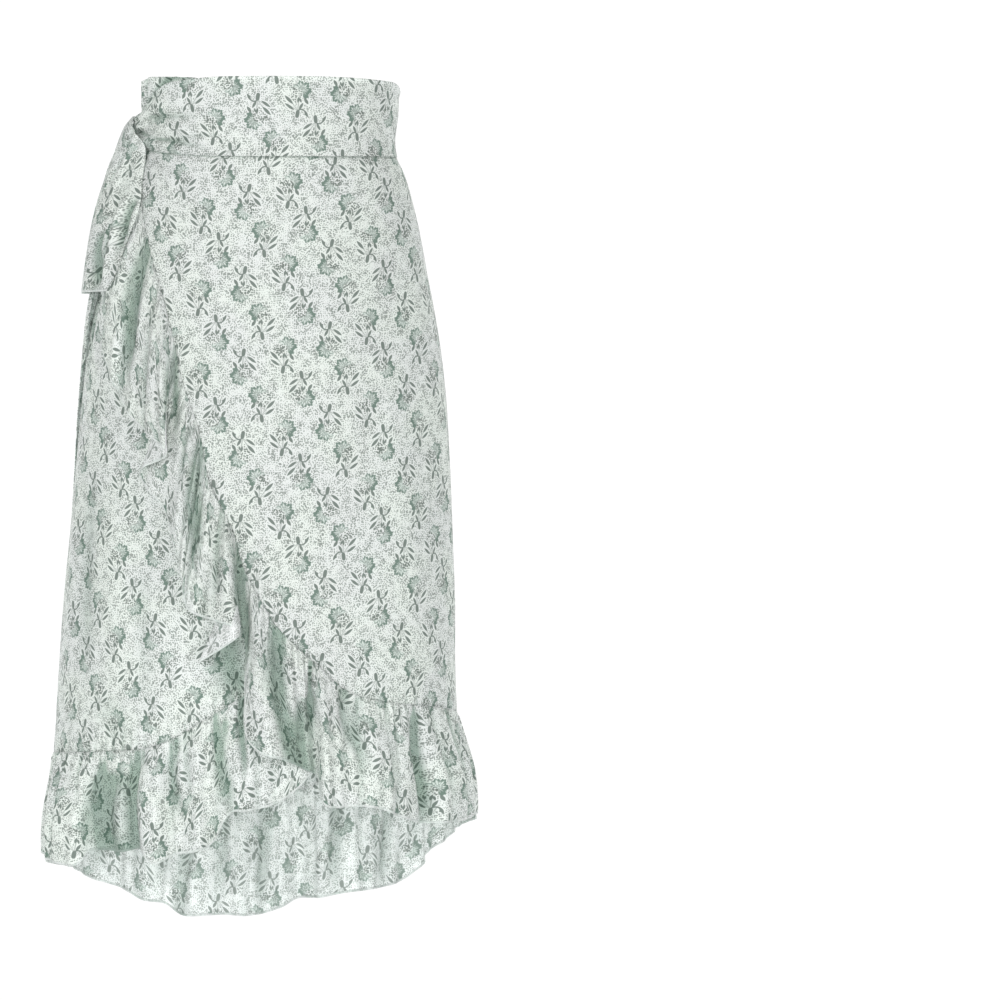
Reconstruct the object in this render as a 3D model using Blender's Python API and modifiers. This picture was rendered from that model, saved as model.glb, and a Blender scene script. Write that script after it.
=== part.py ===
"""Wrap skirt with a gathered ruffle, worn shape with no wearer.

Metres, +Z up. The origin is the middle of the waist, level with the seam under the waistband.
The front faces -Y, and the knot is on the -X side. Every piece of cloth is a wall over one form:
an ellipse at each height, so a point is given by its angle round the form, its height and how
far it stands outside. Angles are in degrees from the front, growing towards +X.
"""

import bmesh
import bpy
import numpy as np

CLOTH = 0.0012  # wall thickness
SEAM = 0.0004  # gap between two pieces at a seam
RUFFLE_SEAM = 0.0010  # the same at a ruffle, whose wall leans out from its seam
SIDE_SEAM = 90.0  # angle of the side seams, left and right
SIDE_GAP = 0.12  # degrees left free on each side of a side seam
LAYER = 0.0028  # how far the outer layer of the wrap lies from the form
LAYER_END = 72.0  # angle past which it comes in to the form, at its own side seam
STEPS = 3  # columns for each row of a fold table, the same in a panel and its ruffle
PANEL_ROWS = 6
HIP_ROWS = 1.5  # a panel's rows lie closer over the hips: the power of the way down
BELLY = 0.62  # how much of a half turn a fold's profile takes: above 0.5 it draws in at the hem


def table(columns, *rows):
    """Rows of numbers as one array for each named column."""
    return dict(zip(columns.split(), np.array(rows, float).T))


FORM = table(
    "height centre_x centre_y half_width half_depth",
    (-0.830, -0.014, 0.010, 0.2200, 0.165),
    (-0.700, -0.014, 0.010, 0.2160, 0.160),
    (-0.600, -0.014, 0.010, 0.2110, 0.155),
    (-0.531, -0.013, 0.011, 0.2080, 0.151),
    (-0.467, -0.011, 0.012, 0.2055, 0.147),
    (-0.404, -0.009, 0.013, 0.2015, 0.143),
    (-0.320, -0.007, 0.014, 0.1960, 0.137),
    (-0.256, -0.006, 0.015, 0.1910, 0.132),
    (-0.193, -0.006, 0.015, 0.1835, 0.126),
    (-0.130, -0.005, 0.013, 0.1710, 0.118),
    (-0.066, -0.002, 0.008, 0.1555, 0.107),
    (-0.024, 0.000, 0.003, 0.1415, 0.100),
    (0.000, 0.000, 0.000, 0.1310, 0.095),
    (0.040, 0.000, 0.000, 0.1330, 0.096),
    (0.090, 0.000, 0.000, 0.1350, 0.098),
)

# One row for each fold of the strip sewn to the overlap: down the wrap edge, then along the hem.
OVERLAP_FOLDS = table(
    "seam_angle seam_height hem_angle hem_height hem_out",
    (-79.0, -0.008, -75.0, -0.120, 0.002),
    (-65.0, -0.032, -66.0, -0.160, 0.006),
    (-51.5, -0.078, -54.0, -0.222, 0.015),
    (-43.0, -0.114, -44.0, -0.270, 0.013),
    (-36.0, -0.150, -33.5, -0.298, 0.022),
    (-29.5, -0.197, -26.0, -0.320, 0.028),
    (-25.5, -0.240, -38.0, -0.340, 0.006),
    (-22.0, -0.268, -27.5, -0.378, 0.012),
    (-18.5, -0.297, -20.5, -0.440, 0.024),
    (-15.8, -0.337, -19.0, -0.475, 0.020),
    (-13.0, -0.362, -16.0, -0.486, 0.009),
    (-10.3, -0.379, -10.5, -0.492, 0.017),
    (-7.3, -0.399, -3.0, -0.505, 0.029),
    (-3.8, -0.435, -15.0, -0.535, 0.008),
    (-1.5, -0.452, -6.0, -0.590, 0.010),
    (1.5, -0.470, -0.5, -0.621, 0.025),
    (6.5, -0.498, 8.8, -0.636, 0.024),
    (12.5, -0.520, 14.8, -0.646, 0.014),
    (16.8, -0.533, 18.0, -0.653, 0.009),
    (20.5, -0.544, 21.8, -0.684, 0.025),
    (26.5, -0.563, 27.2, -0.684, 0.016),
    (35.5, -0.574, 33.5, -0.686, 0.025),
    (44.5, -0.579, 42.2, -0.696, 0.016),
    (52.5, -0.581, 51.0, -0.703, 0.008),
    (64.0, -0.584, 60.0, -0.703, 0.024),
    (77.0, -0.588, 75.0, -0.699, 0.018),
    (SIDE_SEAM - SIDE_GAP, -0.593, SIDE_SEAM - SIDE_GAP, -0.697, 0.021),
)

# The same for the strip on the underlap's hem, from the knot-side seam to its end under the overlap.
UNDERLAP_FOLDS = table(
    "seam_angle seam_height hem_angle hem_height hem_out",
    (SIDE_GAP - SIDE_SEAM, -0.633, SIDE_GAP - SIDE_SEAM, -0.734, 0.008),
    (-74.0, -0.632, -72.0, -0.742, 0.015),
    (-62.0, -0.631, -60.0, -0.748, 0.018),
    (-46.0, -0.629, -46.0, -0.733, 0.004),
    (-39.5, -0.628, -37.5, -0.735, 0.016),
    (-35.5, -0.627, -33.0, -0.738, 0.008),
    (-29.0, -0.623, -27.0, -0.742, 0.018),
    (-23.5, -0.616, -21.5, -0.737, 0.006),
    (-16.5, -0.602, -14.5, -0.728, 0.016),
    (-9.8, -0.587, -8.0, -0.706, 0.004),
    (-2.0, -0.570, -0.5, -0.688, 0.006),
    (8.0, -0.545, 9.0, -0.672, 0.004),
    (19.0, -0.500, 20.5, -0.630, 0.002),
    (28.0, -0.425, 31.0, -0.555, 0.001),
)

# The rest of the underlap's free edge, up to the waist. It has no ruffle.
UNDERLAP_EDGE = table(
    "seam_angle seam_height",
    (35.0, -0.335),
    (42.0, -0.245),
    (50.0, -0.160),
    (60.0, -0.075),
    (68.0, -0.015),
)

BACK_FOLDS = table(
    "seam_angle seam_height hem_height hem_out",
    (SIDE_SEAM + SIDE_GAP, -0.594, -0.698, 0.021),
    (99.0, -0.602, -0.706, 0.016),
    (108.0, -0.614, -0.714, 0.007),
    (118.0, -0.632, -0.726, 0.015),
    (127.0, -0.649, -0.750, 0.014),
    (137.0, -0.658, -0.775, 0.005),
    (148.0, -0.660, -0.785, 0.016),
    (157.0, -0.661, -0.790, 0.015),
    (163.0, -0.670, -0.795, 0.004),
    (166.0, -0.677, -0.806, 0.016),
    (170.0, -0.679, -0.811, 0.019),
    (174.5, -0.680, -0.807, 0.005),
    (183.0, -0.680, -0.816, 0.019),
    (191.0, -0.680, -0.808, 0.005),
    (201.0, -0.680, -0.815, 0.019),
    (207.5, -0.679, -0.801, 0.005),
    (213.5, -0.669, -0.797, 0.016),
    (222.0, -0.661, -0.781, 0.004),
    (232.0, -0.656, -0.775, 0.018),
    (243.0, -0.650, -0.758, 0.006),
    (254.0, -0.643, -0.752, 0.014),
    (263.0, -0.637, -0.742, 0.006),
    (360 - SIDE_SEAM - SIDE_GAP, -0.634, -0.735, 0.008),
)

# Each band's lower and upper edge round the waist, how far it stands out (to reach the knot), and
# how deep the creases are that the knot draws into it.
FRONT_BAND = table(
    "angle bottom top out crease",
    (-82.9, 0.0080, 0.034, 0.0100, 0.0030),
    (-77.0, 0.0030, 0.037, 0.0062, 0.0045),
    (-71.0, 0.0006, 0.044, 0.0038, 0.0040),
    (-60.0, 0.0004, 0.064, 0.0028, 0.0030),
    (-51.0, 0.0004, 0.075, 0.0028, 0.0020),
    (-35.0, 0.0004, 0.077, 0.0028, 0.0008),
    (0.0, 0.0004, 0.075, 0.0028, 0.0000),
    (55.0, 0.0004, 0.074, 0.0028, 0.0000),
    (75.0, 0.0004, 0.069, 0.0028, 0.0000),
    (SIDE_SEAM - SIDE_GAP, 0.0004, 0.062, 0.0028, 0.0000),
)
TIE_WRAP = table(
    "angle bottom top out crease",
    (SIDE_SEAM + SIDE_GAP, 0.0004, 0.062, 0.0028, 0.0000),
    (104.0, -0.0010, 0.068, 0.0028, 0.0005),
    (125.0, -0.0030, 0.073, 0.0028, 0.0010),
    (180.0, -0.0050, 0.075, 0.0028, 0.0015),
    (212.0, -0.0040, 0.075, 0.0028, 0.0025),
    (230.0, 0.0000, 0.074, 0.0028, 0.0030),
    (241.0, 0.0050, 0.064, 0.0028, 0.0035),
    (250.0, 0.0090, 0.051, 0.0034, 0.0040),
    (256.0, 0.0110, 0.044, 0.0054, 0.0045),
    (262.2, 0.0110, 0.038, 0.0099, 0.0030),
)
INNER_BAND = table(
    "angle bottom top out crease",
    (98.0, 0.0004, 0.066, 0.0, 0.0000),
    (125.0, 0.0004, 0.071, 0.0, 0.0000),
    (180.0, 0.0004, 0.073, 0.0, 0.0000),
    (230.0, 0.0004, 0.076, 0.0, 0.0005),
    (250.0, 0.0004, 0.076, 0.0, 0.0008),
    (270.0, 0.0004, 0.075, 0.0, 0.0008),
    (290.0, 0.0004, 0.075, 0.0, 0.0008),
    (310.0, 0.0004, 0.075, 0.0, 0.0005),
    (360.0, 0.0004, 0.073, 0.0, 0.0000),
    (424.0, 0.0004, 0.070, 0.0, 0.0000),
)
CREASES = 2  # creases across a band where the knot draws it together

# Sections across the free ends of the ties: where the front edge, the middle and the back edge
# lie round the form, and how far out.
SHORT_TAIL = table(
    "height front_angle front_out middle_angle middle_out back_angle back_out",
    (-0.148, -62.0, 0.0160, -86.0, 0.0150, -102.0, 0.0110),
    (-0.100, -60.0, 0.0125, -86.0, 0.0205, -101.0, 0.0120),
    (-0.060, -58.0, 0.0095, -86.0, 0.0265, -100.0, 0.0130),
    (-0.030, -62.0, 0.0095, -86.0, 0.0310, -99.0, 0.0160),
    (-0.005, -70.0, 0.0125, -87.0, 0.0330, -98.0, 0.0225),
    (0.010, -80.0, 0.0210, -89.0, 0.0310, -98.0, 0.0245),
    (0.028, -84.0, 0.0235, -90.0, 0.0252, -96.0, 0.0235),
)
LONG_TAIL = table(
    "height front_angle front_out middle_angle middle_out back_angle back_out",
    (-0.472, -104.0, 0.0060, -112.0, 0.0085, -121.0, 0.0060),
    (-0.400, -102.0, 0.0060, -110.0, 0.0085, -120.0, 0.0060),
    (-0.300, -98.0, 0.0060, -107.0, 0.0085, -118.0, 0.0060),
    (-0.200, -94.0, 0.0055, -103.0, 0.0080, -114.0, 0.0060),
    (-0.148, -93.0, 0.0050, -102.0, 0.0075, -113.0, 0.0055),
    (-0.100, -93.0, 0.0045, -103.0, 0.0070, -114.0, 0.0050),
    (-0.050, -93.0, 0.0045, -101.0, 0.0065, -110.0, 0.0045),
    (-0.020, -92.0, 0.0045, -98.0, 0.0060, -105.0, 0.0045),
    (0.000, -90.0, 0.0040, -94.5, 0.0042, -99.5, 0.0040),
    (0.009, -88.0, 0.0028, -92.0, 0.0028, -96.0, 0.0028),
)
TAIL_FOLDS = 2.5  # lengthwise folds across a free end
TAIL_OPEN = 0.06  # how far below the knot's foot those folds reach their full depth

KNOT_CENTRE = (-0.1465, 0.0, 0.0225)
KNOT_HALF = (0.0105, 0.0155, 0.0220)
KNOT_SQUARE = 0.8  # below 1, the knot is fuller than an ellipsoid
KNOT_WRAPS = 3  # turns of cloth that show round the knot
KNOT_GROOVE = 0.10  # depth of the grooves between them, as a share of its radius
KNOT_SLANT = 2.0  # radians that a groove winds on from the knot's middle to its side

CLOTH_ROUGHNESS = 0.85
PANEL_COLOUR = (0.60, 0.67, 0.63, 1.0)
RUFFLE_COLOUR = (0.57, 0.65, 0.61, 1.0)
BAND_COLOUR = (0.55, 0.61, 0.57, 1.0)
TIE_COLOUR = (0.50, 0.58, 0.53, 1.0)


def smooth(at, knots, values):
    """Values on one smooth curve through the knots: a cubic Hermite piece between each pair."""
    slopes = np.gradient(values, knots)
    piece = np.clip(np.searchsorted(knots, at) - 1, 0, len(knots) - 2)
    step = knots[piece + 1] - knots[piece]
    t = np.clip((at - knots[piece]) / step, 0, 1)
    rise = t * t * (3 - 2 * t)
    leaving = t * (1 - t) ** 2 * step * slopes[piece]
    arriving = t * t * (t - 1) * step * slopes[piece + 1]
    return values[piece] + rise * (values[piece + 1] - values[piece]) + leaving + arriving


def ease(low, high, at):
    """0 below low, 1 above high, and a soft step between."""
    t = np.clip((at - low) / (high - low), 0, 1)
    return t * t * (3 - 2 * t)


def on_form(angle, height, out):
    """Points at an angle and a height on the form, moved `out` along its outward normal."""
    centre_x, centre_y, half_width, half_depth = (
        smooth(height, FORM["height"], FORM[name])
        for name in ("centre_x", "centre_y", "half_width", "half_depth")
    )
    turn = np.radians(angle)
    normal = np.stack([np.sin(turn) / half_width, -np.cos(turn) / half_depth])
    normal = normal / np.linalg.norm(normal, axis=0)
    x = centre_x + half_width * np.sin(turn) + out * normal[0]
    y = centre_y - half_depth * np.cos(turn) + out * normal[1]
    return np.stack([x, y, height + 0 * x], axis=-1)


def rows_of(folds):
    """Each column of a fold table, read at STEPS points from each row to the next."""
    count = len(folds["seam_angle"])
    knots = np.arange(count, dtype=float)
    at = np.linspace(0, count - 1, (count - 1) * STEPS + 1)
    return {name: smooth(at, knots, column) for name, column in folds.items()}


def overlap_out(angle):
    """The overlap lies on the underlap, and comes in to the form at its own side seam."""
    return LAYER * (1 - ease(LAYER_END, SIDE_SEAM, angle))


def cloth(name, points, colour):
    """A piece of cloth: a grid of points on its inner face, columns by rows, with a wall outside."""
    columns, rows = points.shape[:2]
    index = np.arange(columns * rows).reshape(columns, rows)
    corners = (index[:-1, :-1], index[:-1, 1:], index[1:, 1:], index[1:, :-1])
    faces = np.stack(corners, axis=-1).reshape(-1, 4)
    mesh = bpy.data.meshes.new(name)
    mesh.from_pydata(points.reshape(-1, 3).tolist(), [], faces.tolist())
    mesh.shade_smooth()
    piece = add_object(name, mesh, colour)
    wall = piece.modifiers.new("wall", "SOLIDIFY")
    wall.thickness = CLOTH
    wall.offset = 1.0
    return piece


def add_object(name, mesh, colour):
    """An object in the skirt's collection, with a material of its own."""
    material = bpy.data.materials.new(name)
    material.use_nodes = True
    shader = material.node_tree.nodes["Principled BSDF"]
    shader.inputs["Base Color"].default_value = colour
    shader.inputs["Roughness"].default_value = CLOTH_ROUGHNESS
    shader.inputs["Metallic"].default_value = 0.0
    mesh.materials.append(material)
    piece = bpy.data.objects.new(name, mesh)
    skirt.objects.link(piece)
    return piece


def panel(name, angle, bottom, out):
    """A panel of the skirt: columns straight down from the waist seam to its lower edge."""
    down = np.linspace(0, 1, PANEL_ROWS + 1)[None, :] ** HIP_ROWS
    height = -SEAM + down * (bottom[:, None] + SEAM)
    outs = np.broadcast_to(np.reshape(out, (-1, 1)), height.shape)
    cloth(name, on_form(angle[:, None] + 0 * height, height, outs), PANEL_COLOUR)


def ruffle(name, strip, out, rows):
    """A gathered strip: straight lines from seam to hem that open into folds on the way down."""
    down = np.linspace(0, 1, rows + 1)[None, :]
    edge = on_form(strip["seam_angle"], strip["seam_height"], 0.0)
    along = np.gradient(edge, axis=0)
    run = np.hypot(along[:, 0], along[:, 1])
    length = np.hypot(run, along[:, 2])
    radius = np.hypot(edge[:, 0], edge[:, 1])
    seam_angle = strip["seam_angle"] + np.degrees(RUFFLE_SEAM * along[:, 2] / length / radius)
    seam_height = strip["seam_height"] - RUFFLE_SEAM * run / length
    angle = seam_angle[:, None] + down * (strip["hem_angle"] - seam_angle)[:, None]
    height = seam_height[:, None] + down * (strip["hem_height"] - seam_height)[:, None]
    opening = np.sin(np.pi * BELLY * down)
    outs = np.reshape(out, (-1, 1)) + opening * strip["hem_out"][:, None]
    cloth(name, on_form(angle, height, outs), RUFFLE_COLOUR)


def band(name, shape, columns, rows):
    """A band round the waist, creased along its length where the knot draws it together."""
    angle = np.linspace(shape["angle"][0], shape["angle"][-1], columns + 1)
    bottom, top, out, crease = (
        smooth(angle, shape["angle"], shape[column])[:, None]
        for column in ("bottom", "top", "out", "crease")
    )
    down = np.linspace(0, 1, rows + 1)[None, :]
    height = top + down * (bottom - top)
    wave = 0.5 - 0.5 * np.cos(2 * np.pi * CREASES * down)
    cloth(name, on_form(angle[:, None] + 0 * height, height, out + crease * wave), BAND_COLOUR)


def tail(name, shape, fold_depth, columns, rows):
    """A free end of a tie: a curve through three points at each height, with lengthwise folds."""
    height = np.linspace(shape["height"][-1], shape["height"][0], rows + 1)[None, :]
    across = np.linspace(0, 1, columns + 1)[:, None]
    shares = (
        ("front", (1 - across) * (1 - 2 * across)),
        ("middle", 4 * across * (1 - across)),
        ("back", across * (2 * across - 1)),
    )
    angle, out = (
        sum(share * smooth(height, shape["height"], shape[f"{place}_{measure}"])
            for place, share in shares)
        for measure in ("angle", "out")
    )
    wave = np.sin(2 * np.pi * TAIL_FOLDS * across) * np.sin(np.pi * across)
    depth = fold_depth * (1 - ease(-TAIL_OPEN, 0.0, height))
    points = on_form(angle, height + 0 * angle, out + depth * wave)
    cloth(name, points[::-1], TIE_COLOUR)


def add_knot():
    """The knot: a rounded lump with grooves that wind round it between the turns of cloth."""
    shape = bmesh.new()
    bmesh.ops.create_uvsphere(shape, u_segments=18, v_segments=10, radius=1.0)
    for corner in shape.verts:
        turn = np.arctan2(corner.co.z, corner.co.y)
        reach = np.hypot(corner.co.y, corner.co.z)
        groove = 0.5 - 0.5 * np.cos(KNOT_WRAPS * turn + KNOT_SLANT * corner.co.x)
        for axis in range(3):
            full = np.sign(corner.co[axis]) * abs(corner.co[axis]) ** KNOT_SQUARE
            full *= 1 - KNOT_GROOVE * reach * groove
            corner.co[axis] = KNOT_CENTRE[axis] + KNOT_HALF[axis] * full
    mesh = bpy.data.meshes.new("knot")
    shape.to_mesh(mesh)
    shape.free()
    mesh.shade_smooth()
    add_object("knot", mesh, TIE_COLOUR)


def add_panels():
    overlap = rows_of(OVERLAP_FOLDS)
    angle = overlap["seam_angle"]
    panel("overlap_panel", angle, overlap["seam_height"], overlap_out(angle))
    edge = {
        name: np.concatenate([UNDERLAP_FOLDS[name], UNDERLAP_EDGE[name]])
        for name in ("seam_angle", "seam_height")
    }
    underlap = rows_of(edge)
    panel("underlap_panel", underlap["seam_angle"], underlap["seam_height"], 0.0)
    back = rows_of(BACK_FOLDS)
    panel("back_panel", back["seam_angle"], back["seam_height"], 0.0)


def add_ruffles():
    overlap = rows_of(OVERLAP_FOLDS)
    ruffle("overlap_ruffle", overlap, overlap_out(overlap["seam_angle"]), rows=6)
    ruffle("underlap_ruffle", rows_of(UNDERLAP_FOLDS), 0.0, rows=4)
    back = dict(BACK_FOLDS, hem_angle=BACK_FOLDS["seam_angle"])
    ruffle("back_ruffle", rows_of(back), 0.0, rows=4)


def add_waist():
    band("waistband_front", FRONT_BAND, columns=26, rows=7)
    band("tie_wrap", TIE_WRAP, columns=26, rows=7)
    band("waistband_inner", INNER_BAND, columns=40, rows=4)
    add_knot()
    tail("tail_short", SHORT_TAIL, fold_depth=0.004, columns=14, rows=9)
    tail("tail_long", LONG_TAIL, fold_depth=0.001, columns=8, rows=16)


for old in list(bpy.data.objects):
    bpy.data.objects.remove(old)
skirt = bpy.data.collections.new("wrap skirt")
bpy.context.scene.collection.children.link(skirt)
add_panels()
add_ruffles()
add_waist()
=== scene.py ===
"""Looks of a wrap skirt in printed chiffon, laid out as a Blender add-on and run as a script.

Metres, +Z up. The front faces -Y and the knot is on the -X side. Every piece of cloth is a grid of
points over one form, an ellipse at each height: a point is given by its angle round the form in
degrees from the front towards +X, its height, and how far it stands outside. Tables give the folds,
sections and creases in degrees and millimetres, and functions work out the points between them.
"""

from math import radians, tau

import bpy
import numpy as np
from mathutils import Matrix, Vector


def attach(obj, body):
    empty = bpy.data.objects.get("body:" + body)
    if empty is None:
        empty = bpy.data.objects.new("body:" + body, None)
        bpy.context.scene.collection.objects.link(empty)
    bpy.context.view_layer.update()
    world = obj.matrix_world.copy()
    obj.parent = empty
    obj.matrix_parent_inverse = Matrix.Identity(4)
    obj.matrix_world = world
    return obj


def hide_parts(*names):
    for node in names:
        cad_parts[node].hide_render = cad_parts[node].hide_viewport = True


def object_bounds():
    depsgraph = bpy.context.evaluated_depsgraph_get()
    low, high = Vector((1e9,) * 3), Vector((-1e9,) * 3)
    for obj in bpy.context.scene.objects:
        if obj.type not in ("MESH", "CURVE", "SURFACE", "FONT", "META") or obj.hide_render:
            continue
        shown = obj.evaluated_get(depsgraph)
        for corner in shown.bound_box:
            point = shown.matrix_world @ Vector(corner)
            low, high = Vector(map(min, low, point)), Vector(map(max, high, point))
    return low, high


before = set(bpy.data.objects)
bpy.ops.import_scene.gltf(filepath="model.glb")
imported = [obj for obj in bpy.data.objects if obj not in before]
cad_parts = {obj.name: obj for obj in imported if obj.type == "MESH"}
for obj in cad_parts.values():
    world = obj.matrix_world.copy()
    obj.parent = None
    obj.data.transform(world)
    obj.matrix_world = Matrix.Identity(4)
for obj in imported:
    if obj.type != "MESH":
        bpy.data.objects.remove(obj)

bl_info = {
    "name": "Wrap skirt",
    "version": (1, 0, 0),
    "blender": (4, 5, 0),
    "location": "View3D > Sidebar > Wrap skirt",
    "description": "Makes the cloth, the print and the studio of a ruffled wrap skirt",
    "category": "Object",
}

CAD_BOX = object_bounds()
MM_PER_METRE = 1000.0


def table(columns, rows):
    """Lines of numbers as one array for each named column. A column whose name ends in _mm is
    turned from millimetres into metres, and its name loses that ending."""
    values = np.array([line.split() for line in rows.strip().splitlines()], float).T
    return {
        name.removesuffix("_mm"): column / (MM_PER_METRE if name.endswith("_mm") else 1.0)
        for name, column in zip(columns.split(), values)
    }


# The form under the cloth, and how the pieces lie on it.

LAYER = 0.0028  # how far the outer layer of the wrap lies from the form
LAYER_END = 72.0  # angle past which it comes in to the form
SIDE_SEAM = 90.0  # angle of the side seams, left and right
SEAM = 0.0001  # gap between two pieces at a seam
FULL_FOLD = 0.009  # depth at which a trough's painted shade is as dark as it gets

FORM = table("height_mm centre_x_mm centre_y_mm half_width_mm half_depth_mm", """
-830 -14 10 220 165
-700 -14 10 216 160
-600 -14 10 211 155
-531 -13 11 208 151
-467 -11 12 205.5 147
-404 -9 13 201.5 143
-320 -7 14 196 137
-256 -6 15 191 132
-193 -6 15 183.5 126
-130 -5 13 171 118
-66 -2 8 155.5 107
-24 0 3 141.5 100
0 0 0 131 95
40 0 0 133 96
90 0 0 135 98
""")

# One row for each fold of the strip sewn to the overlap: down the wrap edge, then along the hem.
STRIP = "seam_angle seam_height_mm hem_angle hem_height_mm hem_out_mm"
OVERLAP_FOLDS = table(STRIP, """
-79 -8 -75 -120 2
-65 -32 -66 -160 6
-51.5 -78 -54 -222 15
-43 -114 -44 -270 13
-36 -150 -33.5 -298 22
-29.5 -197 -26 -320 28
-25.5 -240 -38 -340 6
-22 -268 -27.5 -378 12
-18.5 -297 -20.5 -440 24
-15.8 -337 -19 -475 20
-13 -362 -16 -486 9
-10.3 -379 -10.5 -492 17
-7.3 -399 -3 -505 29
-3.8 -435 -15 -535 8
-2.4 -445.5 -3.6 -501 3
-0.8 -456.5 -1.8 -565 6
1.2 -468.3 -1.5 -608 12
3.6 -482.5 2.5 -628 25
6.5 -498 8.8 -636 24
12.5 -520 14.8 -646 14
16.8 -533 18.2 -654 9
20.5 -544 19.3 -683 24
26.5 -563 27.2 -684 16
35.5 -574 33.5 -686 25
44.5 -579 42.2 -696 16
52.5 -581 51 -703 8
64 -584 60 -703 24
77 -588 75 -699 18
90 -593 90 -697 17
""")

# The same on the underlap's hem, from the knot-side seam to its end under the overlap.
UNDERLAP_FOLDS = table(STRIP, """
-90 -633 -90 -734 4
-74 -632 -72 -742 15
-62 -631 -61 -746.5 18
-54.5 -630 -54 -748 13
-50.5 -630 -51.5 -734 6
-46 -629 -46 -731 4
-39.5 -628 -37.5 -732 14
-35.5 -627 -32 -729 8
-29 -623 -26 -744 18
-23.5 -616 -21 -734 6
-16.5 -602 -14.5 -730.5 16
-11.5 -591 -10.5 -721.5 8
-6.5 -579.5 -6 -692 4
-1 -567.5 -0.5 -688.5 6
8 -545 9 -676.5 3
19 -500 18.5 -640 1
28 -425 31 -555 0.5
""")

# The rest of the underlap's free edge, up to the waist. It has no ruffle.
UNDERLAP_EDGE = table("seam_angle seam_height_mm", """
35 -335
42 -245
50 -160
60 -75
68 -15
""")

# The back's folds hang straight down from its seam.
BACK_FOLDS = table("seam_angle seam_height_mm hem_height_mm hem_out_mm", """
90 -594 -698 17
99 -602 -706 16
108 -614 -714 7
118 -632 -726 15
127 -649 -745.5 7
131 -652.5 -758.5 14
137 -658 -775 5
148 -660 -785 16
157 -661 -790 15
163 -670 -795 4
166 -677 -795.5 15
170.5 -679 -797 19
174.5 -680 -806 5
183 -680 -815.5 19
191 -680 -813.5 5
201 -680 -815 19
207.5 -679 -801 5
213.5 -669 -797 16
222 -661 -783 4
232 -656 -771 16
243 -650 -758 6
254 -643 -752 14
263 -637 -742 6
270 -634 -735 4
""")

# Each band's lower and upper edge round the waist, how far it stands out (to reach the knot), and
# how deep the creases are that the knot draws into it.
BAND = "angle bottom_mm top_mm out_mm crease_mm"
FRONT_BAND = table(BAND, """
-82.9 8 34 10 1.5
-77 3 37 6.2 4
-70 0.3 44 3.8 3
-60 -2 59 2.8 2
-51.5 -4 67.8 2.8 1.2
-40 -6 71.5 2.8 0.6
-28 -7.8 73.8 2.8 0.3
0 -8.8 74.7 2.8 0
55 -7.3 73 2.8 0
75 -6.2 70.5 2.8 0
85 -5.8 65.5 2.4 0
89.99 -5.6 62.5 2 0
""")
TIE_WRAP = table(BAND, """
90.01 -5.6 62.5 2 0
95 -5 65 2.4 0.2
104 -4 69 2.8 0.5
125 -3 73 2.8 1
180 -5 75 2.8 1.5
212 -4 75 2.8 2.5
230 0 74 2.8 3
241 5 64 2.8 3.5
250 9 51 3.4 4
256 11 44 5.4 4.5
262.2 11 38 9.9 3
""")
INNER_BAND = table(BAND, """
98 0.1 66 0 0
125 0.1 71 0 0
180 0.1 73 0 0
230 0.1 75.5 0 0.5
250 0.1 74.5 0 0.8
262 0.1 69 0 0.8
269 0.1 68 0 0.8
275 0.1 69.6 0 0.8
280 0.1 72.8 -0.5 0.8
286 0.1 76 -1 0.8
302 0.1 76.7 -3 0.5
318 0.1 75.2 -3 0.2
332 0.1 72.5 -1 0
360 0.1 73 0 0
424 0.1 70 0 0
""")

# Sections across the free ends of the ties: where the front edge, the middle and the back edge
# lie round the form, and how far out.
TAIL = "height_mm front_angle front_out_mm middle_angle middle_out_mm back_angle back_out_mm"
SHORT_TAIL = table(TAIL, """
-148 -60.5 14.5 -86 18.2 -101 12.5
-125 -57 12.5 -86 21.2 -101 13
-100 -57 10.5 -86 24 -101 13.5
-60 -56 7 -86 28.3 -100 14
-30 -61.5 6 -86 30 -99 16
-5 -67 7.5 -86 31.5 -98 21.5
7 -69 10.5 -86 29.5 -98 23
18 -73 16 -86.5 25.5 -97 21.5
28.5 -78 15 -87 19 -95 17
36.5 -82 10 -88 11 -93 10
""")
LONG_TAIL = table(TAIL, """
-472 -104 6 -112 8.5 -121 6
-400 -102 6 -110 8.5 -120 6
-300 -98 6 -107 8.5 -118 6
-200 -87 4.5 -100 6.8 -113 5.5
-148 -83 5.5 -97 9.2 -111 5.5
-100 -83 4.5 -97 8 -111 5
-50 -86 4.5 -98 6.5 -109 4.5
-20 -89 4.5 -97 6 -105 4.5
0 -90 4 -94.5 4.2 -99.5 4
9 -88 2.8 -92 2.8 -96 2.8
""")

KNOT_CENTRE = (-0.1465, 0.0, 0.0225)
KNOT_HALF = (0.0105, 0.0155, 0.0220)  # its half sizes
KNOT_LEAN = (0.0135, 0.0, -0.0060)  # how its top is drawn in to the band
KNOT_SQUARE = 0.8  # power of a ball's coordinates, below 1 for a squarer shape
KNOT_WRAPS = 3  # grooves round it
KNOT_GROOVE = 0.10  # their depth, as a share of its size
KNOT_SLANT = 2.0  # how much they turn on from its middle to an end, in radians
KNOT_WRINKLES = (0.02, 11, 5)  # depth, how many there are round it, and their slant
KNOT_TOP = (-0.6, 0.9)  # heights between which it starts to be drawn in and is so in full
KNOT_FLAT = (0.016, 0.020)  # radii by which its print is laid round and along it
KNOT_END = 0.02  # radians left open at its two ends, inside the band and under a free end

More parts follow.
